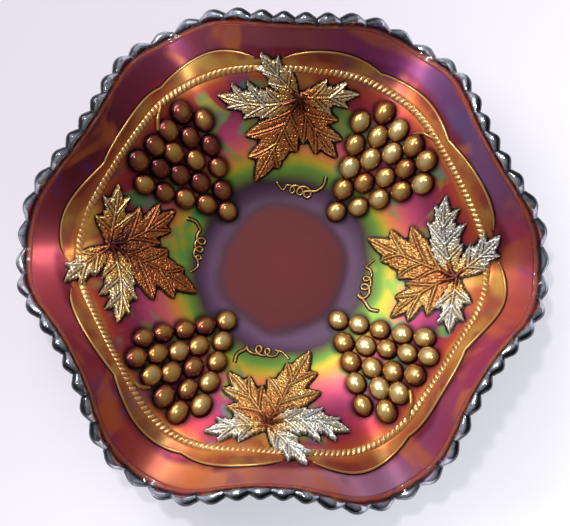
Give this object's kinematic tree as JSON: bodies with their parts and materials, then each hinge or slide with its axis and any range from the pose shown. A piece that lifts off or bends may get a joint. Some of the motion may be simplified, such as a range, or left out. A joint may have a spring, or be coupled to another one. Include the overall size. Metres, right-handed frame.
{
  "type": "ruffled glass bowl",
  "caption": "Ruffled carnival glass bowl on a collar base, with a beaded rim, a cable border and a moulded relief of grape bunches, leaf sprays and tendrils.",
  "frame": {"origin": "centre of the ring that the bowl stands on, at the table's level", "axes": "+Z up out of the bowl; +X through a lobe of the rim, 2.7 degrees past its middle, with a leaf spray beside it; +Y up in the usual view of the inside"},
  "size_m": [0.2202, 0.2068, 0.0556],
  "materials": {
    "iridised_glass": "dark amethyst glass with a purple, magenta and amber iridescent skin",
    "amethyst_glass": "plain dark amethyst glass, glossy",
    "bead_glass": "dark glass with a silver-blue lustre",
    "gold_relief": "iridescent gold and bronze skin on raised glass"
  },
  "bodies": {
    "root": {"bowl_wall": "iridised_glass", "collar_base": "amethyst_glass", "beaded_rim": "bead_glass", "cable_border_1": "gold_relief", "cable_border_2": "gold_relief", "cable_border_3": "gold_relief", "cable_border_4": "gold_relief", "grape_bunch_1": "gold_relief", "grape_bunch_2": "gold_relief", "grape_bunch_3": "gold_relief", "grape_bunch_4": "gold_relief", "leaf_spray_1": "gold_relief", "leaf_spray_2": "gold_relief", "leaf_spray_3": "gold_relief", "leaf_spray_4": "gold_relief", "outer_vine_1": "gold_relief", "outer_vine_2": "gold_relief", "outer_vine_3": "gold_relief", "outer_vine_4": "gold_relief", "tendril_1": "gold_relief", "tendril_2": "gold_relief", "tendril_3": "gold_relief", "tendril_4": "gold_relief"}
  },
  "joints": []
}
